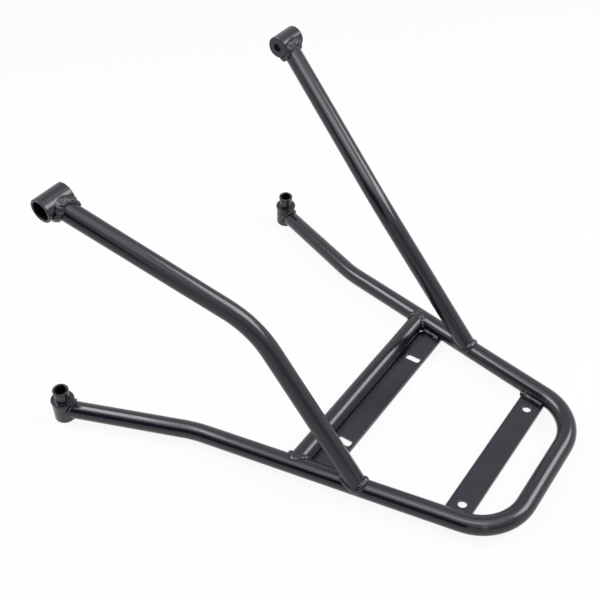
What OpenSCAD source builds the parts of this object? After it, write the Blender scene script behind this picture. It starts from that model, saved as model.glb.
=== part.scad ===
// Scooter rear rack: a welded tube frame with a slotted plate and a drilled strap.
// It lies as it would on a bench, platform down, with the stays rising to the front.
// X runs from the leg ends to the rear bar, Y from side to side, Z up from the bench.

/* [Tube] */
// Outside diameter of every tube in the frame
tube_d = 19; // [16:0.5:22]
// Wall thickness of every tube
tube_wall = 1.6; // [1.2:0.1:2.5]
// Gap left between a coped tube end and the tube that it is welded to
root_gap = 0.2; // [0.1:0.05:0.4]

/* [Hoop] */
// Half width of the hoop at its rear bar, measured to the corner of the centre lines
rear_half_w = 80; // [70:1:95]
// Distance from the rear bar to the bends where the legs begin
side_run = 318; // [290:1:340]
// Half width of the hoop at those bends
leg_bend_half_w = 143.5; // [125:0.5:155]
// Bend radius of the two rear corners
corner_radius = 50; // [35:1:60]
// Bend radius where the sides turn out into the legs
leg_bend_radius = 150; // [100:5:200]

/* [Leg bosses] */
// Distance from the rear bar to the axis of the leg bosses, at the height of the tube centre line
boss_run = 459.7; // [430:0.5:480]
// Half the distance between the two boss axes at that height
boss_half_w = 197.8; // [180:0.5:210]
// Lean of both bosses back towards the rear bar, in degrees
boss_lean = 8.6; // [0:0.1:10]
// Lean of the bosses towards each other, in degrees
boss_toe_in = 2.5; // [0:0.1:2.6]
// Diameter of the body of a boss
boss_d = 23.5; // [22:0.5:27]
// Reach of a boss below the tube centre line, along its own axis
boss_drop = 12.2; // [12:0.1:15]
// Height of its shoulder above the tube centre line, along its own axis
boss_rise = 16; // [15.8:0.1:20]
// Diameter of the thin flange under the shoulder
flange_d = 25; // [24:0.5:29]
// Thickness of that flange
flange_t = 1.9; // [1.4:0.1:2.4]
// Diameter of the neck of the spigot
neck_d = 16; // [15:0.5:18]
// Diameter of the lip at the top of the spigot
lip_d = 17; // [16:0.5:19]
// Height of that lip
lip_h = 3.5; // [2.5:0.1:5]
// Height of the spigot above its shoulder, with the lip
spigot_h = 15.6; // [8:0.1:20]
// Diameter of the hole through a boss
boss_bore_d = 12; // [8:0.5:13]
// Chamfer on the turned edges of a boss
boss_chamfer = 0.6; // [0.3:0.1:0.7]

/* [Stays] */
// Distance from the rear bar to the foot of a stay, along X
stay_foot_run = 138; // [120:1:160]
// Distance from the rear bar to the bend of a stay
stay_bend_run = 246; // [230:1:260]
// Half the distance between the two stay bends
stay_bend_half_w = 104; // [98:1:112]
// Height of the stay bend above the hoop centre line
stay_bend_rise = 156.5; // [140:0.5:170]
// Bend radius of a stay
stay_bend_radius = 130; // [90:5:160]

/* [Stay sleeves] */
// Distance from the rear bar to the axis of the sleeves
sleeve_run = 399.5; // [380:0.5:415]
// Half the distance between the middles of the two sleeves
sleeve_half_w = 163; // [150:0.5:175]
// Height of the sleeve axis above the hoop centre line
sleeve_rise = 274.5; // [255:0.5:290]
// Outside diameter of a sleeve
sleeve_d = 23; // [21:0.5:27]
// Length of a sleeve
sleeve_len = 30; // [26:0.5:36]
// Diameter of the counterbore that takes the bolt head
counterbore_d = 18; // [15:0.5:18.5]
// Thickness of the wall at the inner end of a sleeve
end_wall = 4; // [3:0.5:6]
// Diameter of the bolt hole through that wall
sleeve_bolt_d = 8.8; // [6.5:0.1:10.5]
// Chamfer on the ends of a sleeve
sleeve_chamfer = 0.6; // [0.3:0.1:1]

/* [Cross tube and plates] */
// Distance from the rear bar to the cross tube
cross_run = 206.5; // [195:0.5:220]
// Thickness of both flat plates
plate_t = 4; // [3:0.5:4]
// Drop from the tube centre line to the top of both plates
plate_drop = 5; // [3:0.5:6]
// Distance from the cross tube to the rear edge of the slotted plate
slot_plate_reach = 34; // [33:0.5:40]
// Cut across the front corners of the slotted plate
plate_corner_cut = 6.5; // [6.5:0.5:12]
// Distance from the cross tube to the middle of the slots
slot_back = 22.5; // [21:0.5:24]
// Distance between the two slots, along Y
slot_spacing = 134; // [100:1:140]
// Width of a slot
slot_w = 9; // [6.5:0.5:10]
// Overall length of a slot, along X
slot_len = 17; // [13:0.5:18]
// Radius in the four corners of a slot
slot_corner_r = 3; // [1:0.5:3.2]
// Distance from the rear bar to the middle of the rear strap
strap_run = 50; // [45:0.5:56]
// Width of the rear strap
strap_w = 25; // [18:0.5:27]
// Distance between the two holes in the rear strap, along Y
strap_hole_spacing = 135; // [90:1:138]
// Diameter of the holes in the rear strap
strap_hole_d = 9; // [6.5:0.1:11]

/* [Welds] */
// Width on each tube of the bead round a stay's foot
stay_foot_bead = 3.2; // [2.8:0.1:4]
// Width on each of its two faces of the bead between a stay and its sleeve
sleeve_bead = 4.6; // [3.4:0.1:5]
// Width on each of its two faces of the bead between a leg and its boss
boss_bead = 2.2; // [1.6:0.1:2.2]
// Width on each tube of the bead round an end of the cross tube
cross_bead = 3.4; // [2.8:0.1:3.6]
// How far the face of a bead stands out between its two toes, as a share of its width
bead_crown = 0.3; // [0.2:0.02:0.34]
// Number of ripples in the bead round a tube
tube_ripples = 20; // [16:1:24]
// Width of the fillet weld at the end of a plate
fillet_leg = 5; // [4:0.1:6]
// Number of ripples in the fillet weld at the end of a plate
fillet_ripples = 5; // [4:1:7]
// Share of its width by which a bead swells and narrows with each ripple
ripple_depth = 0.1; // [0.05:0.01:0.15]

/* [Hidden] */
$fn = 48;
black = "#26272b";
weld_black = "#34353a";

tube_r = tube_d / 2;
bore_r = tube_r - tube_wall;
cut_over = 5;

// A bend draws the tube in by this much, and each straight runs this far into the bend
bend_draw = 0.05;

// Space left under a bead along the seam that it covers
root_lift = 0.25;

// Least space between a bead and the tubes under it
bead_skin = 0.04;

// Centre line of the hoop, from the right leg round the rear bar to the left leg
left_boss_at = [-boss_run, boss_half_w, 0];
left_leg_bend = [-side_run, leg_bend_half_w, 0];
left_corner = [0, rear_half_w, 0];
hoop_line = [
  flip(left_boss_at), flip(left_leg_bend), flip(left_corner),
  left_corner, left_leg_bend, left_boss_at
];
hoop_radii = [leg_bend_radius, corner_radius, corner_radius, leg_bend_radius];

// Directions and points on the left side, which the right side mirrors
side_dir = unit(left_leg_bend - left_corner);
boss_dir = unit([tan(boss_lean), -tan(boss_toe_in), 1]);
stay_foot = on_side(stay_foot_run);
stay_bend = [-stay_bend_run, stay_bend_half_w, stay_bend_rise];
sleeve_at = [-sleeve_run, sleeve_half_w, sleeve_rise];
cross_end = on_side(cross_run);
stay_line = [stay_foot, stay_bend, sleeve_at];

// Where the top of a plate meets the cross tube and the side tubes
plate_bottom = -plate_drop - plate_t;
plate_meets = half_chord(tube_r, plate_drop);
plate_front_run = cross_run - plate_meets;
slot_run = cross_run - slot_back;
slot_plate_rear_run = cross_run - slot_plate_reach;
side_meets = plate_meets / -side_dir.x;

// Place of the rear bar and the tube centre line in the row's own frame
foot_r = boss_d / 2 - boss_chamfer;
foot_drop = boss_drop - boss_chamfer;
front_reach = boss_run + foot_drop * boss_dir.x + half_chord(boss_d / 2, boss_d / 2 * boss_dir.x);
rear_x = (front_reach - tube_r) / 2;
line_z = boss_drop * boss_dir.z + half_chord(foot_r, foot_r * boss_dir.z);

function unit(v) = v / norm(v);
function flip(p) = [p.x, -p.y, p.z];
function on_side(run) = left_corner + side_dir * run / -side_dir.x;
function turn(a, b, c) = acos(unit(b - a) * unit(c - b));
function tangent(a, b, c, r) = r * tan(turn(a, b, c) / 2);

// Half the chord that a circle of radius r has at this distance from its middle
function half_chord(r, offset) = sqrt(r * r - offset * offset);

// Radius that keeps the two flats under a bead clear of a tube of radius r
function over_tube(r, leg) = r + bead_skin + leg * leg / (32 * r);

// Puts children with their Z axis from point a towards point b
module aim(a, b) {
  w = unit(b - a);
  translate(a) rotate([0, acos(w.z), atan2(w.y, w.x)]) children();
}

// Straight solid bar between two points
module bar(a, b, r) {
  aim(a, b) cylinder(h = norm(b - a), r = r);
}

// Straight pipe between two points
module pipe(a, b) {
  aim(a, b) linear_extrude(norm(b - a)) ring(0);
}

// Section of the tube, drawn in on both faces of its wall in a bend
module ring(draw) {
  difference() {
    circle(r = tube_r - draw);
    circle(r = bore_r + draw);
  }
}

// Arc of the tube round the corner b of the line a, b, c
module elbow(a, b, c, radius, solid = false) {
  u = unit(b - a);
  v = unit(c - b);
  n = unit(v - u * (u * v));
  middle = b - u * tangent(a, b, c, radius) + n * radius;
  z = cross(-n, u);
  multmatrix([
    [-n.x, u.x, z.x, middle.x],
    [-n.y, u.y, z.y, middle.y],
    [-n.z, u.z, z.z, middle.z],
    [0, 0, 0, 1]
  ])
  rotate_extrude(angle = turn(a, b, c)) translate([radius, 0])
    if (solid) circle(r = tube_r);
    else ring(bend_draw);
}

// Bent tube along a line of points, with one bend radius for each inner point
module bent_tube(line, radii) {
  last = len(line) - 1;
  trim = function(i)
    i == 0 || i == last ? 0 : tangent(line[i - 1], line[i], line[i + 1], radii[i - 1]) - bend_draw;
  for (i = [0 : last - 1]) {
    u = unit(line[i + 1] - line[i]);
    pipe(line[i] + u * trim(i), line[i + 1] - u * trim(i + 1));
  }
  for (i = [1 : last - 1]) elbow(line[i - 1], line[i], line[i + 1], radii[i - 1]);
}

// Swell of a bead at station i, two stations to a ripple
function swell(i) = 1 + ripple_depth * (i % 2 == 0 ? 1 : -1);

// Outline of a bead across its run: toe a, crown, toe b, and the root with a point on each side of it
function bead_outline(a, a_side, b, b_side, root, out, crown) =
  let (
    top = (a + b) / 2 + out * crown,
    shoulder = out * crown / 4
  )
  [a, (a + top) / 2 + shoulder, top, (b + top) / 2 + shoulder, b, b_side, root + out * root_lift, a_side];

// Point on a tube at an angle round it and a distance along it
function on_tube(at, axis, side, face, r, angle, along) =
  at + axis * along + (side * cos(angle) + face * sin(angle)) * r;

// Step across a seam, at right angles to its slope on the unrolled tube
function step_across(slope, leg) = unit([-slope.y, slope.x]) * leg;

// Outlines of the bead round a branch tube where it is coped onto a main tube.
// The bead keeps within main_reach of the branch, measured along the main tube.
function seam_outlines(at, branch_dir, main_dir, main_r, bead_leg, main_reach = side_run) =
  let (
    w = unit(branch_dir),
    m = unit(main_dir),
    side = unit(cross(m, w)),
    up = cross(w, side),
    face = cross(side, m) * w > 0 ? cross(side, m) : -cross(side, m),
    height = function(angle)
      (half_chord(main_r + root_gap, tube_r * cos(angle)) - tube_r * sin(angle) * (up * face)) / (w * face),
    edge = function(angle) on_tube(at, w, side, up, tube_r, angle, height(angle)) - at,
    main_angle = function(p) atan2(p * face, p * side),
    quarter_turn = 90,
    crest = [quarter_turn, main_r * (w * m) / (w * face)],
    nudge = 1,
    round = tube_r * PI / 180,
    main_round = main_r * PI / 180
  )
  [for (i = [0 : 2 * tube_ripples - 1])
    let (
      angle = i * 180 / tube_ripples,
      leg = bead_leg * swell(i),
      p = edge(angle),
      before = edge(angle - nudge),
      after = edge(angle + nudge),
      rise = height(angle + nudge) - height(angle - nudge),
      step = step_across([2 * nudge * round, rise], leg),
      toe = function(share)
        on_tube(at, w, side, up, over_tube(tube_r, leg),
          angle + step.x * share / round, height(angle) + step.y * share),
      swing = [(main_angle(after) - main_angle(before)) * main_round, (after - before) * m],
      from_crest = [(main_angle(p) - crest.x) * main_round, p * m - crest.y],
      away = step_across(swing, leg),
      main_step = away * from_crest > 0 ? away : -away,
      slide = max(-main_reach, min(main_reach, p * m + main_step.y)) - p * m,
      main_toe = function(share)
        on_tube(at, m, side, face, over_tube(main_r, leg),
          main_angle(p) + main_step.x * share / main_round, p * m + slide * share),
      out = unit(side * cos(angle) + up * sin(angle) + unit(p - m * (p * m)))
    )
    bead_outline(toe(1), toe(0.5), main_toe(1), main_toe(0.5), at + p, out, bead_crown * leg)];

// Outlines of the fillet weld along the top of a plate where its end meets the side tube
function fillet_outlines(front_run, rear_run) =
  [for (i = [0 : 2 * fillet_ripples])
    let (
      leg = fillet_leg * swell(i + 1),
      run = front_run + (rear_run - front_run) * i / (2 * fillet_ripples),
      root = on_side(run) - [0, side_meets, plate_drop],
      inward = [side_dir.y, -side_dir.x, 0] * sign(side_dir.x),
      low = asin(plate_drop / tube_r),
      climb = leg * 180 / PI / tube_r,
      wall_toe = function(share)
        let (angle = low - climb * share)
        on_side(run) + (inward * cos(angle) - [0, 0, sin(angle)]) * over_tube(tube_r, leg),
      plate_toe = function(share) root + inward * leg * share + [0, 0, bead_skin]
    )
    bead_outline(
      plate_toe(1), plate_toe(0.5), wall_toe(1), wall_toe(0.5), root,
      unit(inward + [0, 0, 1]), bead_crown * leg
    )];

// Solid through a list of outlines, closed into a loop or capped at its two ends
module through(outlines, loop = false) {
  n = len(outlines);
  k = len(outlines[0]);
  rows = loop ? n : n - 1;
  at = function(i, j) (i % n) * k + j % k;
  walls = [for (i = [0 : rows - 1], j = [0 : k - 1], half = [0, 1])
    half == 0 ? [at(i, j), at(i + 1, j), at(i, j + 1)] : [at(i + 1, j), at(i + 1, j + 1), at(i, j + 1)]];
  first_cap = [for (j = [1 : k - 2]) [at(0, 0), at(0, j), at(0, j + 1)]];
  last_cap = [for (j = [1 : k - 2]) [at(n - 1, 0), at(n - 1, j + 1), at(n - 1, j)]];
  polyhedron(points = [for (o = outlines) each o], faces = loop ? walls : concat(walls, first_cap, last_cap));
}

// Flat plate between the side tubes, whose ends run to their centre lines before they are coped
module plate_blank(front_run, rear_run) {
  left_edge = [for (run = [front_run, rear_run]) on_side(run)];
  translate([0, 0, plate_bottom]) linear_extrude(plate_t)
    polygon([
      [left_edge[0].x, left_edge[0].y],
      [left_edge[1].x, left_edge[1].y],
      [left_edge[1].x, -left_edge[1].y],
      [left_edge[0].x, -left_edge[0].y]
    ]);
}

module right() {
  mirror([0, 1, 0]) children();
}

module both_sides() {
  children();
  right() children();
}

// Moves the frame from the axis of the rear bar to the row's own origin
module placed() {
  translate([rear_x, 0, line_z]) children();
}

// Solid bars that stand for the tubes of the left side, to cut what meets them
module side_bar(extra_r = 0) {
  bar(left_corner, left_leg_bend, tube_r + extra_r);
}

module corner_bar() {
  elbow([0, 0, 0], left_corner, left_leg_bend, corner_radius, solid = true);
}

module cross_bar() {
  bar(flip(cross_end), cross_end, tube_r);
}

module boss_bar(extra_r = 0) {
  bar(left_boss_at - boss_dir * boss_drop, left_boss_at + boss_dir * boss_rise, boss_d / 2 + extra_r);
}

module sleeve_bar(extra_r = 0) {
  translate(sleeve_at) rotate([90, 0, 0]) cylinder(h = sleeve_len, r = sleeve_d / 2 + extra_r, center = true);
}

// Tubes
module hoop_tube() {
  color(black) placed() difference() {
    bent_tube(hoop_line, hoop_radii);
    both_sides() boss_bar(root_gap);
  }
}

module cross_tube() {
  color(black) placed() difference() {
    pipe(flip(cross_end), cross_end);
    both_sides() side_bar(root_gap);
  }
}

module stay() {
  difference() {
    bent_tube(stay_line, [stay_bend_radius]);
    side_bar(root_gap);
    sleeve_bar(root_gap);
  }
}

module left_stay() {
  color(black) placed() stay();
}

module right_stay() {
  color(black) placed() right() stay();
}

// Plates
module slot_cut() {
  inner_len = slot_len - 2 * slot_corner_r;
  inner_w = slot_w - 2 * slot_corner_r;
  deep = plate_t + 2 * cut_over;
  translate([-slot_run, slot_spacing / 2, plate_bottom + plate_t / 2]) {
    cube([slot_len, inner_w, deep], center = true);
    cube([inner_len, slot_w, deep], center = true);
    for (x = [-inner_len / 2, inner_len / 2], y = [-inner_w / 2, inner_w / 2])
      translate([x, y, 0]) cylinder(h = deep, r = slot_corner_r, center = true);
  }
}

// Slanted cut across a front corner of the slotted plate
module corner_cut() {
  corner = on_side(plate_front_run) - [0, side_meets, -plate_bottom + cut_over];
  translate(corner) linear_extrude(plate_t + 2 * cut_over)
    polygon([
      [plate_corner_cut + cut_over, cut_over],
      [-cut_over, cut_over],
      [-cut_over, -plate_corner_cut - cut_over]
    ]);
}

module slotted_plate() {
  color(black) placed() difference() {
    plate_blank(cross_run, slot_plate_rear_run);
    cross_bar();
    both_sides() {
      side_bar();
      corner_cut();
      slot_cut();
    }
  }
}

module rear_strap() {
  color(black) placed() difference() {
    plate_blank(strap_run + strap_w / 2, strap_run - strap_w / 2);
    both_sides() {
      side_bar();
      corner_bar();
      translate([-strap_run, strap_hole_spacing / 2, plate_bottom - cut_over])
        cylinder(h = plate_t + 2 * cut_over, d = strap_hole_d);
    }
  }
}

// Turned sleeve, open at its outer end for the bolt head and walled at its inner end
module sleeve() {
  outer_r = sleeve_d / 2;
  mouth_r = counterbore_d / 2;
  inner = -sleeve_len / 2;
  outer = sleeve_len / 2;
  translate(sleeve_at) rotate([-90, 0, 0]) rotate_extrude()
    polygon([
      [sleeve_bolt_d / 2, inner],
      [outer_r - sleeve_chamfer, inner],
      [outer_r, inner + sleeve_chamfer],
      [outer_r, outer - sleeve_chamfer],
      [outer_r - sleeve_chamfer, outer],
      [mouth_r + sleeve_chamfer, outer],
      [mouth_r, outer - sleeve_chamfer],
      [mouth_r, inner + end_wall],
      [sleeve_bolt_d / 2, inner + end_wall]
    ]);
}

module left_sleeve() {
  color(black) placed() sleeve();
}

module right_sleeve() {
  color(black) placed() right() sleeve();
}

// Turned boss with a flange at its shoulder and a lipped spigot, bored right through
module leg_boss() {
  hole_r = boss_bore_d / 2;
  flange_r = flange_d / 2;
  neck_r = neck_d / 2;
  lip_r = lip_d / 2;
  flange_bottom = boss_rise - flange_t;
  top = boss_rise + spigot_h;
  lip_bottom = top - lip_h;
  aim(left_boss_at, left_boss_at + boss_dir) rotate_extrude()
    polygon([
      [hole_r, -boss_drop],
      [foot_r, -boss_drop],
      [boss_d / 2, -foot_drop],
      [boss_d / 2, flange_bottom],
      [flange_r - boss_chamfer, flange_bottom],
      [flange_r, flange_bottom + boss_chamfer],
      [flange_r, boss_rise - boss_chamfer],
      [flange_r - boss_chamfer, boss_rise],
      [neck_r, boss_rise],
      [neck_r, lip_bottom - boss_chamfer],
      [lip_r, lip_bottom],
      [lip_r, top - boss_chamfer],
      [lip_r - boss_chamfer, top],
      [hole_r + boss_chamfer, top],
      [hole_r, top - boss_chamfer]
    ]);
}

module left_leg_boss() {
  color(black) placed() leg_boss();
}

module right_leg_boss() {
  color(black) placed() right() leg_boss();
}

// Weld beads
module stay_foot_weld() {
  through(seam_outlines(stay_foot, stay_bend - stay_foot, side_dir, tube_r, stay_foot_bead), loop = true);
}

module sleeve_weld() {
  reach = sleeve_len / 2 - sleeve_chamfer;
  branch = stay_bend - sleeve_at;
  through(seam_outlines(sleeve_at, branch, [0, 1, 0], sleeve_d / 2, sleeve_bead, reach), loop = true);
}

module boss_weld() {
  leg = left_leg_bend - left_boss_at;
  through(seam_outlines(left_boss_at, leg, boss_dir, boss_d / 2, boss_bead), loop = true);
}

module cross_tube_weld() {
  through(seam_outlines(cross_end, [0, -1, 0], side_dir, tube_r, cross_bead), loop = true);
}

module slotted_plate_weld() {
  through(fillet_outlines(plate_front_run - plate_corner_cut, slot_plate_rear_run));
}

module rear_strap_weld() {
  through(fillet_outlines(strap_run + strap_w / 2, strap_run - strap_w / 2));
}

module left_stay_foot_weld() {
  color(weld_black) placed() stay_foot_weld();
}

module right_stay_foot_weld() {
  color(weld_black) placed() right() stay_foot_weld();
}

module left_sleeve_weld() {
  color(weld_black) placed() sleeve_weld();
}

module right_sleeve_weld() {
  color(weld_black) placed() right() sleeve_weld();
}

module left_boss_weld() {
  color(weld_black) placed() boss_weld();
}

module right_boss_weld() {
  color(weld_black) placed() right() boss_weld();
}

module left_cross_tube_weld() {
  color(weld_black) placed() cross_tube_weld();
}

module right_cross_tube_weld() {
  color(weld_black) placed() right() cross_tube_weld();
}

module left_slotted_plate_weld() {
  color(weld_black) placed() slotted_plate_weld();
}

module right_slotted_plate_weld() {
  color(weld_black) placed() right() slotted_plate_weld();
}

module left_rear_strap_weld() {
  color(weld_black) placed() rear_strap_weld();
}

module right_rear_strap_weld() {
  color(weld_black) placed() right() rear_strap_weld();
}

hoop_tube();
cross_tube();
slotted_plate();
rear_strap();
left_stay();
right_stay();
left_sleeve();
right_sleeve();
left_leg_boss();
right_leg_boss();
left_stay_foot_weld();
right_stay_foot_weld();
left_sleeve_weld();
right_sleeve_weld();
left_boss_weld();
right_boss_weld();
left_cross_tube_weld();
right_cross_tube_weld();
left_slotted_plate_weld();
right_slotted_plate_weld();
left_rear_strap_weld();
right_rear_strap_weld();
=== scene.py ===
from math import asin, cos, pi, radians, sin, sqrt, tan

import bmesh
import bpy
import numpy as np
from mathutils import Matrix, Vector


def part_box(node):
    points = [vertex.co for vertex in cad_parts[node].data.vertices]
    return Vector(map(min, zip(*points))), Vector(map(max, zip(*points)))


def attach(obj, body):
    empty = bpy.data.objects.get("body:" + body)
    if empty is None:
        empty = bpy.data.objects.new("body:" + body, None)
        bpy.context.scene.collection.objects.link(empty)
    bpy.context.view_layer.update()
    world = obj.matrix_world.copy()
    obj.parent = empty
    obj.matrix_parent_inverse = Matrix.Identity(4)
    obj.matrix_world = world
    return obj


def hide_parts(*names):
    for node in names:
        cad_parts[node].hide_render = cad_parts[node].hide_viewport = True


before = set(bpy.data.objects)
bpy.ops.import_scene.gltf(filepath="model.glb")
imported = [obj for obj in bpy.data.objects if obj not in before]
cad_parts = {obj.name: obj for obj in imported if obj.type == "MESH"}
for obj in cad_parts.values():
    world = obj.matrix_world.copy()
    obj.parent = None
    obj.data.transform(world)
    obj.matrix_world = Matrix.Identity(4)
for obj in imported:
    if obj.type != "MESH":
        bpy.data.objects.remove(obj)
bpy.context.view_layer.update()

scene = bpy.context.scene
print("frame loaded:", len(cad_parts), "pieces of steel")

# axis of the rear bar, from which the camera, the scuff and the weld beads are placed
tubeR = 0.0095
barAxis = Vector((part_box("hoop_tube")[1].x - tubeR, 0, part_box("hoop_tube")[0].z + tubeR))

# camera at the photograph's place, in metres and degrees
camera = {
    "place": (0.1394, -0.4802, 0.6812),    # from the axis of the rear bar
    "azimuth": 41.11,                      # round from -Y towards +X
    "elevation": 42.90,
    "roll": -6.62,
    "lens": 50.53,
    "sensor": 36.0,
}


def addCamera():
    data = bpy.data.cameras.new("photoCamera")
    data.sensor_width = camera["sensor"]
    data.lens = camera["lens"]
    data.clip_start = 0.01
    turn = Matrix.Rotation(radians(camera["azimuth"]), 4, "Z")
    turn = turn @ Matrix.Rotation(pi / 2 - radians(camera["elevation"]), 4, "X")
    turn = turn @ Matrix.Rotation(radians(camera["roll"]), 4, "Z")
    eye = bpy.data.objects.new("photoCamera", data)
    eye.matrix_world = Matrix.Translation(barAxis + Vector(camera["place"])) @ turn
    scene.collection.objects.link(eye)
    scene.camera = eye


# studio: a wide pale floor, a soft box at each side and one overhead, and cards that only the coat
# mirrors: two dark ones on the camera's side and a pale one for the ceiling
studio = {
    "floorSize": 6.0,
    "floorDrop": 0.0002,
    "floorColour": (0.90, 0.90, 0.90, 1.0),
    "roomColour": (0.06, 0.06, 0.065, 1.0),
    "whiteShare": 0.92,    # how far the seen floor is lifted to plain white over its shadow
    "aim": (0.0, 0.0, 0.1),
}
# azimuth and elevation of each soft box, its distance, width and height, and how bright its face is
softBoxes = {
    "leftBox": (-68.0, 50.0, 1.6, 0.95, 0.62, 7.8),
    "rightBox": (129.0, 41.0, 1.6, 1.14, 0.77, 7.2),
    "topBox": (25.0, 74.0, 1.8, 1.1, 0.55, 3.0),
}
# azimuth and elevation of each card, its distance, width and height, and how bright it looks
mirrorCards = {
    "cameraSideCard": (-5.0, 20.0, 1.5, 1.5, 1.0, 0.02),
    "rightSideCard": (60.0, 12.0, 1.6, 1.6, 0.6, 0.5),
    "ceilingCard": (25.0, 80.0, 1.9, 2.4, 2.0, 2.3),
}


def seenMask(tree):
    # one for the rays that show the background: seen straight, mirrored or through glass
    path = tree.nodes.new("ShaderNodeLightPath")
    mask = path.outputs["Is Camera Ray"]
    for name in ("Is Glossy Ray", "Is Transmission Ray"):
        both = tree.nodes.new("ShaderNodeMath")
        both.operation = "MAXIMUM"
        tree.links.new(mask, both.inputs[0])
        tree.links.new(path.outputs[name], both.inputs[1])
        mask = both.outputs[0]
    return mask


def addRoom():
    world = bpy.data.worlds.new("paleRoom")
    world.use_nodes = True
    tree = world.node_tree
    tree.nodes.clear()
    mix = tree.nodes.new("ShaderNodeMix")
    mix.data_type = "RGBA"
    mix.inputs[6].default_value = studio["roomColour"]
    mix.inputs[7].default_value = (1.0, 1.0, 1.0, 1.0)
    background = tree.nodes.new("ShaderNodeBackground")
    output = tree.nodes.new("ShaderNodeOutputWorld")
    tree.links.new(seenMask(tree), mix.inputs[0])
    tree.links.new(mix.outputs[2], background.inputs["Color"])
    tree.links.new(background.outputs[0], output.inputs["Surface"])
    scene.world = world


def floorFinish():
    finish = bpy.data.materials.new("paleFloor")
    finish.use_nodes = True
    tree = finish.node_tree
    tree.nodes.clear()
    matt = tree.nodes.new("ShaderNodeBsdfDiffuse")
    matt.inputs["Color"].default_value = studio["floorColour"]
    white = tree.nodes.new("ShaderNodeEmission")
    share = tree.nodes.new("ShaderNodeMath")
    share.operation = "MULTIPLY"
    share.inputs[1].default_value = studio["whiteShare"]
    mix = tree.nodes.new("ShaderNodeMixShader")
    output = tree.nodes.new("ShaderNodeOutputMaterial")
    tree.links.new(seenMask(tree), share.inputs[0])
    tree.links.new(share.outputs[0], mix.inputs[0])
    tree.links.new(matt.outputs[0], mix.inputs[1])
    tree.links.new(white.outputs[0], mix.inputs[2])
    tree.links.new(mix.outputs[0], output.inputs["Surface"])
    return finish


def addFloor():
    half = studio["floorSize"] / 2
    drop = -studio["floorDrop"]
    mesh = bpy.data.meshes.new("floor")
    corners = [(-half, -half, drop), (half, -half, drop), (half, half, drop), (-half, half, drop)]
    mesh.from_pydata(corners, [], [(0, 1, 2, 3)])
    mesh.materials.append(floorFinish())
    floor = bpy.data.objects.new("floor", mesh)
    scene.collection.objects.link(floor)


def wayTo(azimuth, elevation):
    # unit vector at an azimuth, round from -Y towards +X, and an elevation above the floor
    level, heading = radians(elevation), radians(azimuth)
    return Vector((cos(level) * sin(heading), -cos(level) * cos(heading), sin(level)))


def addSoftBox(name, azimuth, elevation, distance, width, height, glow):
    data = bpy.data.lights.new(name, "AREA")
    data.shape = "RECTANGLE"
    data.size = width
    data.size_y = height
    data.energy = glow * pi * width * height
    away = wayTo(azimuth, elevation)
    box = bpy.data.objects.new(name, data)
    place = Vector(studio["aim"]) + away * distance
    box.matrix_world = Matrix.Translation(place) @ away.to_track_quat("Z", "Y").to_matrix().to_4x4()
    box.visible_camera = False
    scene.collection.objects.link(box)


def cardFinish(name, grey):
    finish = bpy.data.materials.new(name)
    finish.use_nodes = True
    tree = finish.node_tree
    tree.nodes.clear()
    glow = tree.nodes.new("ShaderNodeEmission")
    glow.inputs["Color"].default_value = (grey, grey, grey, 1.0)
    output = tree.nodes.new("ShaderNodeOutputMaterial")
    tree.links.new(glow.outputs[0], output.inputs["Surface"])
    return finish


def addMirrorCard(name, azimuth, elevation, distance, width, height, grey):
    away = wayTo(azimuth, elevation)
    bpy.ops.mesh.primitive_plane_add(size=1.0)
    card = bpy.context.object
    card.name = name
    turn = away.to_track_quat("Z", "Y").to_matrix().to_4x4()
    place = Matrix.Translation(Vector(studio["aim"]) + away * distance)
    card.matrix_world = place @ turn @ Matrix.Diagonal((width, height, 1.0, 1.0))
    card.data.materials.append(cardFinish(name, grey))
    card.visible_camera = False
    card.visible_diffuse = False
    card.visible_shadow = False


addCamera()
addRoom()
addFloor()
for name, sizes in softBoxes.items():
    addSoftBox(name, *sizes)
for name, sizes in mirrorCards.items():
    addMirrorCard(name, *sizes)
scene.view_settings.view_transform = "Standard"
print("studio built:", len(softBoxes), "soft boxes and", len(mirrorCards), "cards")

# black powder coat; lengths in metres, so a noise scale of 1000 has features of about a millimetre
coat = {
    "colour": (0.0090, 0.0080, 0.0170, 1.0),
    "dullColour": (0.0115, 0.0100, 0.0200, 1.0),
    "roughness": (0.15, 0.20),
    "mottleScale": 38.0,
    "peelScale": 900.0,
    "peelDepth": 0.000002,
    "edgeRadius": 0.0006,
    "specular": 0.5,
    "mottleSpan": (0.3, 0.7),    # share of the noise that the mottling uses
}
# scuff on the near rear corner, where the coat is rubbed to a small brown spot
scuff = {
    "place": (-0.0178, -0.0857, 0.0067),    # from the axis of the rear bar
    "size": 0.0046,
    "colour": (0.085, 0.062, 0.058, 1.0),
    "grainScale": 420.0,
    "core": 0.2,        # share of the size that is rubbed all through
    "strength": 1.3,    # how strongly the spot stands over its grain
}


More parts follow.
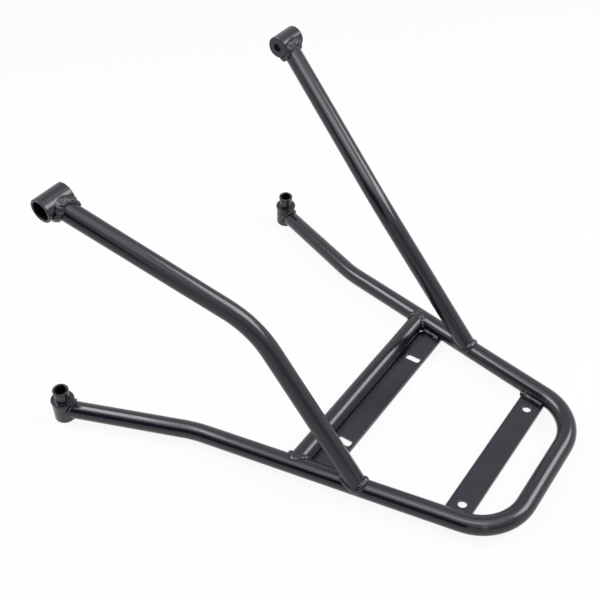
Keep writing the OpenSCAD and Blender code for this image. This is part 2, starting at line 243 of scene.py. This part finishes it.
class Finish:
    # a material with its node tree, and short calls for the nodes that every coat uses

    def __init__(self, name):
        self.material = bpy.data.materials.new(name)
        self.material.use_nodes = True
        self.tree = self.material.node_tree
        self.shader = self.tree.nodes["Principled BSDF"]
        self.place = self.tree.nodes.new("ShaderNodeTexCoord").outputs["Object"]

    def node(self, kind, **inputs):
        node = self.tree.nodes.new(kind)
        for name, value in inputs.items():
            self.feed(node, name, value)
        return node

    def feed(self, node, name, value):
        numbered = name.startswith("in") and name[2:].isdigit()
        socket = node.inputs[int(name[2:]) if numbered else name]
        if isinstance(value, bpy.types.NodeSocket):
            self.tree.links.new(value, socket)
        else:
            socket.default_value = value

    def noise(self, scale, detail=2.0):
        return self.node("ShaderNodeTexNoise", Vector=self.place, Scale=scale, Detail=detail).outputs[0]

    def between(self, share, low, high):
        span = self.node("ShaderNodeMapRange", Value=share)
        span.inputs["From Min"].default_value = coat["mottleSpan"][0]
        span.inputs["From Max"].default_value = coat["mottleSpan"][1]
        span.inputs["To Min"].default_value = low
        span.inputs["To Max"].default_value = high
        return span.outputs[0]

    def colours(self, share, low, high):
        mix = self.tree.nodes.new("ShaderNodeMix")
        mix.data_type = "RGBA"
        self.feed(mix, "in0", share)
        self.feed(mix, "in6", low)
        self.feed(mix, "in7", high)
        return mix.outputs[2]


def scuffShare(finish):
    # one at the rubbed spot, falling to nothing round it with a grainy edge
    apart = finish.node("ShaderNodeVectorMath", in0=finish.place, in1=barAxis + Vector(scuff["place"]))
    apart.operation = "DISTANCE"
    grain = finish.noise(scuff["grainScale"], 3.0)
    span = finish.node("ShaderNodeMapRange", Value=apart.outputs["Value"])
    span.inputs["From Min"].default_value = scuff["core"] * scuff["size"]
    span.inputs["From Max"].default_value = scuff["size"]
    span.inputs["To Min"].default_value = scuff["strength"]
    span.inputs["To Max"].default_value = 0.0
    share = finish.node("ShaderNodeMath", in0=span.outputs[0], in1=grain)
    share.operation = "MULTIPLY"
    share.use_clamp = True
    return share.outputs[0]


def powderCoat(name, sheen=1.0, peel=1.0, scuffed=False, softEdges=False):
    finish = Finish(name)
    mottle = finish.noise(coat["mottleScale"])
    low, high = coat["roughness"]
    colour = finish.colours(mottle, coat["colour"], coat["dullColour"])
    if scuffed:
        colour = finish.colours(scuffShare(finish), colour, scuff["colour"])
    finish.feed(finish.shader, "Base Color", colour)
    finish.feed(finish.shader, "Roughness", finish.between(mottle, low * sheen, high * sheen))
    finish.feed(finish.shader, "Specular IOR Level", coat["specular"])
    bump = finish.node("ShaderNodeBump", Height=finish.noise(coat["peelScale"], 1.0))
    bump.inputs["Strength"].default_value = peel
    bump.inputs["Distance"].default_value = coat["peelDepth"]
    if softEdges:
        finish.feed(bump, "Normal", finish.node("ShaderNodeBevel", Radius=coat["edgeRadius"]).outputs[0])
    finish.feed(finish.shader, "Normal", bump.outputs[0])
    return finish


hoopCoat = powderCoat("hoopCoat", scuffed=True).material
tubeCoat = powderCoat("tubeCoat").material
turnedCoat = powderCoat("turnedCoat", sheen=1.1, softEdges=True).material
flatCoat = powderCoat("flatCoat", sheen=1.25, softEdges=True).material
beadCoat = powderCoat("beadCoat", sheen=0.85, peel=0.6).material

coatOf = {
    "hoop_tube": hoopCoat,
    "cross_tube": tubeCoat,
    "left_stay": tubeCoat,
    "right_stay": tubeCoat,
    "left_sleeve": turnedCoat,
    "right_sleeve": turnedCoat,
    "left_leg_boss": turnedCoat,
    "right_leg_boss": turnedCoat,
    "slotted_plate": flatCoat,
    "rear_strap": flatCoat,
}
for name, material in coatOf.items():
    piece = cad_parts[name]
    piece.data.materials.clear()
    piece.data.materials.append(material)
print("coats laid:", len(coatOf), "pieces")

# sizes of the rack that the weld beads follow, on its left side, from the axis of the rear bar
rack = {
    "rootGap": 0.0002,
    "corner": (0.0, 0.080, 0.0),
    "legBend": (-0.318, 0.1435, 0.0),
    "boss": (-0.4597, 0.1978, 0.0),
    "bossR": 0.01175,
    "bossLean": 8.6,
    "bossToeIn": 2.5,
    "stayFootRun": 0.138,
    "stayBend": (-0.246, 0.104, 0.1565),
    "sleeve": (-0.3995, 0.163, 0.2745),
    "sleeveR": 0.0115,
    "sleeveReach": 0.0144,
    "crossRun": 0.2065,
    "plateDrop": 0.005,
    "slotPlateFrontRun": 0.1919,
    "slotPlateRearRun": 0.1725,
    "strapRun": 0.050,
    "strapW": 0.025,
}


def unit(v):
    v = np.asarray(v, float)
    return v / np.linalg.norm(v, axis=-1, keepdims=True)


corner = np.array(rack["corner"])
sideDir = unit(np.array(rack["legBend"]) - corner)


def onSide(run):
    return corner + sideDir * run / -sideDir[0]


class TubeFace:
    # points on the outside of a tube, by the angle round it and the distance along it

    def __init__(self, at, axis, side, face, radius):
        self.at, self.axis, self.side, self.face, self.radius = at, axis, side, face, radius

    def point(self, angle, along):
        around = np.outer(np.cos(angle), self.side) + np.outer(np.sin(angle), self.face)
        return self.at + np.outer(along, self.axis) + around * self.radius


def saddleRings(at, branchDir, mainDir, mainR, bead, mainReach=1.0):
    # sections of a bead round the saddle where a branch tube is coped onto a main tube
    w, m = unit(branchDir), unit(mainDir)
    side = unit(np.cross(m, w))
    up = np.cross(w, side)
    face = np.cross(side, m)
    face = face if face @ w > 0 else -face
    branch = TubeFace(at, w, side, up, tubeR)
    main = TubeFace(at, m, side, face, mainR)
    angle = np.linspace(0, 2 * pi, bead["stations"], endpoint=False)

    def height(a):
        reach = np.sqrt((mainR + rack["rootGap"]) ** 2 - (tubeR * np.cos(a)) ** 2)
        return (reach - tubeR * np.sin(a) * (up @ face)) / (w @ face)

    def mainPlace(a):
        p = branch.point(a, height(a)) - at
        return np.unwrap(np.arctan2(p @ face, p @ side)), p @ m

    nudge = 0.01    # half the step round the tube over which the seam's slope is taken
    leg = bead["leg"]
    root = branch.point(angle, height(angle))
    rise = height(angle + nudge) - height(angle - nudge)
    slope = np.stack([np.full_like(angle, 2 * nudge * tubeR), rise], 1)
    step = unit(np.stack([-slope[:, 1], slope[:, 0]], 1)) * leg
    turn, along = mainPlace(angle)
    turnBefore, alongBefore = mainPlace(angle - nudge)
    turnAfter, alongAfter = mainPlace(angle + nudge)
    slope = np.stack([(turnAfter - turnBefore) * mainR, alongAfter - alongBefore], 1)
    mainStep = unit(np.stack([-slope[:, 1], slope[:, 0]], 1)) * leg
    crest = np.array([pi / 2 * mainR, mainR * (w @ m) / (w @ face)])
    fromCrest = np.stack([turn * mainR, along], 1) - crest
    mainStep *= np.sign(np.sum(mainStep * fromCrest, axis=1))[:, None]
    slide = np.clip(along + mainStep[:, 1], -mainReach, mainReach) - along

    def branchToe(share):
        return branch.point(angle + step[:, 0] * share / tubeR, height(angle) + step[:, 1] * share)

    def mainToe(share):
        return main.point(turn + mainStep[:, 0] * share / mainR, along + slide * share)

    local = root - at
    radial = np.outer(np.cos(angle), side) + np.outer(np.sin(angle), up)
    out = unit(radial + unit(local - np.outer(local @ m, m)))
    return root, branchToe, mainToe, out


def filletRings(frontRun, rearRun, bead):
    # sections of the fillet along the top of a plate where its end meets the side tube
    radius = tubeR
    meets = sqrt(radius ** 2 - rack["plateDrop"] ** 2) / -sideDir[0]
    share = np.linspace(0, 1, bead["stations"])
    run = frontRun + (rearRun - frontRun) * share
    axis = np.array([onSide(r) for r in run])
    root = axis - np.array([0, meets, rack["plateDrop"]])
    inward = np.array([sideDir[1], -sideDir[0], 0]) * np.sign(sideDir[0])
    low = asin(rack["plateDrop"] / radius)
    climb = bead["leg"] / radius

    def wallToe(reach):
        angle = low - climb * reach
        return axis + (inward * np.cos(angle) - np.array([0, 0, np.sin(angle)])) * radius

    def plateToe(reach):
        return root + inward * bead["leg"] * reach

    out = np.tile(unit(inward + np.array([0, 0, 1.0])), (len(run), 1))
    return root, plateToe, wallToe, out


# size of each kind of weld bead, in metres; ripples are counted by their pitch along the seam
beads = {
    "stay_foot": {"leg": 0.0033, "crown": 0.0009, "pitch": 0.0021, "ripple": 0.00035, "lump": 0.0006,
                  "stations": 190, "lumpScale": 260.0},
    "sleeve": {"leg": 0.0048, "crown": 0.0014, "pitch": 0.0034, "ripple": 0.0005, "lump": 0.0021,
               "stations": 190, "lumpScale": 190.0},
    "boss": {"leg": 0.0024, "crown": 0.0010, "pitch": 0.0030, "ripple": 0.0004, "lump": 0.0015,
             "stations": 190, "lumpScale": 220.0},
    "cross_tube": {"leg": 0.0034, "crown": 0.0009, "pitch": 0.0022, "ripple": 0.00035, "lump": 0.0008,
                   "stations": 190, "lumpScale": 260.0},
    "slotted_plate": {"leg": 0.0050, "crown": 0.0008, "pitch": 0.0023, "ripple": 0.0004, "lump": 0.0014,
                      "stations": 100, "lumpScale": 260.0},
    "rear_strap": {"leg": 0.0050, "crown": 0.0008, "pitch": 0.0023, "ripple": 0.0004, "lump": 0.0010,
                   "stations": 90, "lumpScale": 220.0},
}
acrossPoints = 15
# how the ripples and lumps shape a bead, beside the sizes that each kind has
rippleForm = {
    "lead": 0.55,          # pitches by which a ripple's middle runs ahead of its ends
    "scallopMiddle": 0.5,
    "lumpMiddle": 0.42,    # noise level that neither raises nor lowers the bead
    "lumpDetail": 1.5,
    "edgePower": 0.6,      # how fast ripples and lumps fade towards the toes
}
# how far the root of a bead stands out of its corner, so that its underside stays open
rootLift = 0.00025


def seamOf(kind):
    bead = beads[kind]
    bend = np.array(rack["stayBend"])
    if kind == "stay_foot":
        foot = onSide(rack["stayFootRun"])
        return saddleRings(foot, bend - foot, sideDir, tubeR, bead)
    if kind == "sleeve":
        sleeve = np.array(rack["sleeve"])
        return saddleRings(sleeve, bend - sleeve, (0, 1, 0), rack["sleeveR"], bead, rack["sleeveReach"])
    if kind == "boss":
        boss = np.array(rack["boss"])
        axis = (tan(radians(rack["bossLean"])), -tan(radians(rack["bossToeIn"])), 1)
        return saddleRings(boss, np.array(rack["legBend"]) - boss, axis, rack["bossR"], bead)
    if kind == "cross_tube":
        return saddleRings(onSide(rack["crossRun"]), (0, -1, 0), sideDir, tubeR, bead)
    if kind == "slotted_plate":
        return filletRings(rack["slotPlateFrontRun"], rack["slotPlateRearRun"], bead)
    half = rack["strapW"] / 2
    return filletRings(rack["strapRun"] + half, rack["strapRun"] - half, bead)


def beadBlank(name, kind, mirrored):
    # smooth bead as a swept mesh, with its run, its breadth and its outward way kept on each point
    bead = beads[kind]
    root, toeA, toeB, out = seamOf(kind)
    share = np.linspace(0, 1, acrossPoints)
    a, b = toeA(1.0), toeB(1.0)
    face = a[:, None] * (1 - share)[None, :, None] + b[:, None] * share[None, :, None]
    face = face + out[:, None] * (4 * share * (1 - share))[None, :, None] * bead["crown"]
    under = np.stack([toeB(0.5), root + out * rootLift, toeA(0.5)], 1)
    rings = np.concatenate([face, under], 1)
    closed = kind not in ("slotted_plate", "rear_strap")
    if mirrored:
        rings = rings * np.array([1, -1, 1])
        out = out * np.array([1, -1, 1])
    rings = rings + np.array(barAxis)
    stations, width = rings.shape[:2]
    rows = stations if closed else stations - 1
    faces = []
    for i in range(rows):
        j = (i + 1) % stations
        for k in range(width):
            n = (k + 1) % width
            faces.append((i * width + k, j * width + k, j * width + n, i * width + n))
    if not closed:
        faces.append(tuple(range(width)))
        faces.append(tuple(range((stations - 1) * width, stations * width))[::-1])
    mesh = bpy.data.meshes.new(name)
    mesh.from_pydata(rings.reshape(-1, 3).tolist(), [], faces)
    seamLine = np.concatenate([[0], np.cumsum(np.linalg.norm(np.diff(root, axis=0), axis=1))])
    breadth = np.concatenate([share, np.zeros(3)])
    for label, form, values in (
        ("alongSeam", "FLOAT", np.repeat(seamLine, width)),
        ("acrossBead", "FLOAT", np.tile(breadth, stations)),
        ("outward", "FLOAT_VECTOR", np.repeat(out, width, axis=0).ravel()),
    ):
        attribute = mesh.attributes.new(label, form, "POINT")
        field = "vector" if form == "FLOAT_VECTOR" else "value"
        attribute.data.foreach_set(field, values.astype(np.float32))
    mesh.validate()
    blank = bpy.data.objects.new(name, mesh)
    scene.collection.objects.link(blank)
    bpy.context.view_layer.update()
    return blank


class Tree:
    # a Geometry Nodes tree with named inputs, and short calls for its field maths

    def __init__(self, name, sizes):
        self.tree = bpy.data.node_groups.new(name, "GeometryNodeTree")
        face = self.tree.interface
        face.new_socket(name="Geometry", in_out="INPUT", socket_type="NodeSocketGeometry")
        face.new_socket(name="Geometry", in_out="OUTPUT", socket_type="NodeSocketGeometry")
        for label, kind in sizes.items():
            face.new_socket(name=label, in_out="INPUT", socket_type=kind)
        self.given = self.tree.nodes.new("NodeGroupInput").outputs

    def add(self, kind, **settings):
        node = self.tree.nodes.new(kind)
        for name, value in settings.items():
            setattr(node, name, value)
        return node

    def feed(self, node, *values):
        for socket, value in zip(node.inputs, values):
            if isinstance(value, bpy.types.NodeSocket):
                self.tree.links.new(value, socket)
            elif value is not None:
                socket.default_value = value
        return node.outputs[0]

    def maths(self, operation, *values):
        return self.feed(self.add("ShaderNodeMath", operation=operation), *values)

    def named(self, label, kind="FLOAT"):
        return self.feed(self.add("GeometryNodeInputNamedAttribute", data_type=kind), label)


def rippleTree():
    tree = Tree("rippledBead", {
        "Pitch": "NodeSocketFloat",
        "Ripple": "NodeSocketFloat",
        "Lump": "NodeSocketFloat",
        "Lump Scale": "NodeSocketFloat",
        "Seed": "NodeSocketFloat",
        "Finish": "NodeSocketMaterial",
    })
    given, maths = tree.given, tree.maths
    across, along = tree.named("acrossBead"), tree.named("alongSeam")
    outward = tree.named("outward", "FLOAT_VECTOR")
    # one in the middle of the bead and nothing at its two toes
    middle = maths("MULTIPLY", maths("MULTIPLY", across, maths("SUBTRACT", 1.0, across)), 4.0)
    # crescent ripples: the middle of each one runs ahead of its ends
    lead = maths("MULTIPLY", middle, rippleForm["lead"])
    phase = maths("ADD", maths("DIVIDE", along, given["Pitch"]), lead)
    scallop = maths("ABSOLUTE", maths("SINE", maths("MULTIPLY", phase, pi)))
    ripple = maths("MULTIPLY", maths("SUBTRACT", scallop, rippleForm["scallopMiddle"]), given["Ripple"])
    noise = tree.add("ShaderNodeTexNoise", noise_dimensions="4D")
    tree.tree.links.new(given["Lump Scale"], noise.inputs["Scale"])
    tree.tree.links.new(given["Seed"], noise.inputs["W"])
    noise.inputs["Detail"].default_value = rippleForm["lumpDetail"]
    level = maths("SUBTRACT", noise.outputs[0], rippleForm["lumpMiddle"])
    lump = maths("MULTIPLY", level, maths("MULTIPLY", given["Lump"], 2.0))
    edge = maths("POWER", maths("MAXIMUM", middle, 0.0), rippleForm["edgePower"])
    rise = maths("MULTIPLY", maths("ADD", ripple, lump), edge)
    scaled = tree.add("ShaderNodeVectorMath", operation="SCALE")
    tree.tree.links.new(outward, scaled.inputs[0])
    tree.tree.links.new(rise, scaled.inputs["Scale"])
    moved = tree.add("GeometryNodeSetPosition")
    tree.tree.links.new(given["Geometry"], moved.inputs["Geometry"])
    tree.tree.links.new(scaled.outputs[0], moved.inputs["Offset"])
    smooth = tree.add("GeometryNodeSetShadeSmooth")
    tree.tree.links.new(moved.outputs[0], smooth.inputs[0])
    real = tree.add("GeometryNodeRealizeInstances")
    tree.tree.links.new(smooth.outputs[0], real.inputs[0])
    finish = tree.add("GeometryNodeSetMaterial")
    tree.tree.links.new(real.outputs[0], finish.inputs["Geometry"])
    tree.tree.links.new(given["Finish"], finish.inputs["Material"])
    output = tree.add("NodeGroupOutput")
    tree.tree.links.new(finish.outputs[0], output.inputs[0])
    return tree.tree


def giveInput(modifier, label, value):
    for item in modifier.node_group.interface.items_tree:
        if item.item_type == "SOCKET" and item.in_out == "INPUT" and item.name == label:
            modifier[item.identifier] = value


def recalculated(mesh):
    work = bmesh.new()
    work.from_mesh(mesh)
    bmesh.ops.recalc_face_normals(work, faces=work.faces)
    work.to_mesh(mesh)
    work.free()


ripples = rippleTree()


def addBead(side, kind, seed):
    name = f"{side}_{kind}_weld"
    bead = beads[kind]
    blank = beadBlank(name + "_blank", kind, side == "right")
    recalculated(blank.data)
    modifier = blank.modifiers.new("ripples", "NODES")
    modifier.node_group = ripples
    giveInput(modifier, "Pitch", bead["pitch"])
    giveInput(modifier, "Ripple", bead["ripple"])
    giveInput(modifier, "Lump", bead["lump"])
    giveInput(modifier, "Lump Scale", bead["lumpScale"])
    giveInput(modifier, "Seed", seed)
    giveInput(modifier, "Finish", beadCoat)
    graph = bpy.context.evaluated_depsgraph_get()
    mesh = bpy.data.meshes.new_from_object(blank.evaluated_get(graph))
    mesh.name = name
    bpy.data.objects.remove(blank)
    piece = bpy.data.objects.new(name + "_bead", mesh)
    scene.collection.objects.link(piece)
    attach(piece, "root")
    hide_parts(name)


for count, kind in enumerate(beads):
    addBead("left", kind, 3.0 + count)
    addBead("right", kind, 23.0 + count)
print("weld beads laid:", 2 * len(beads))
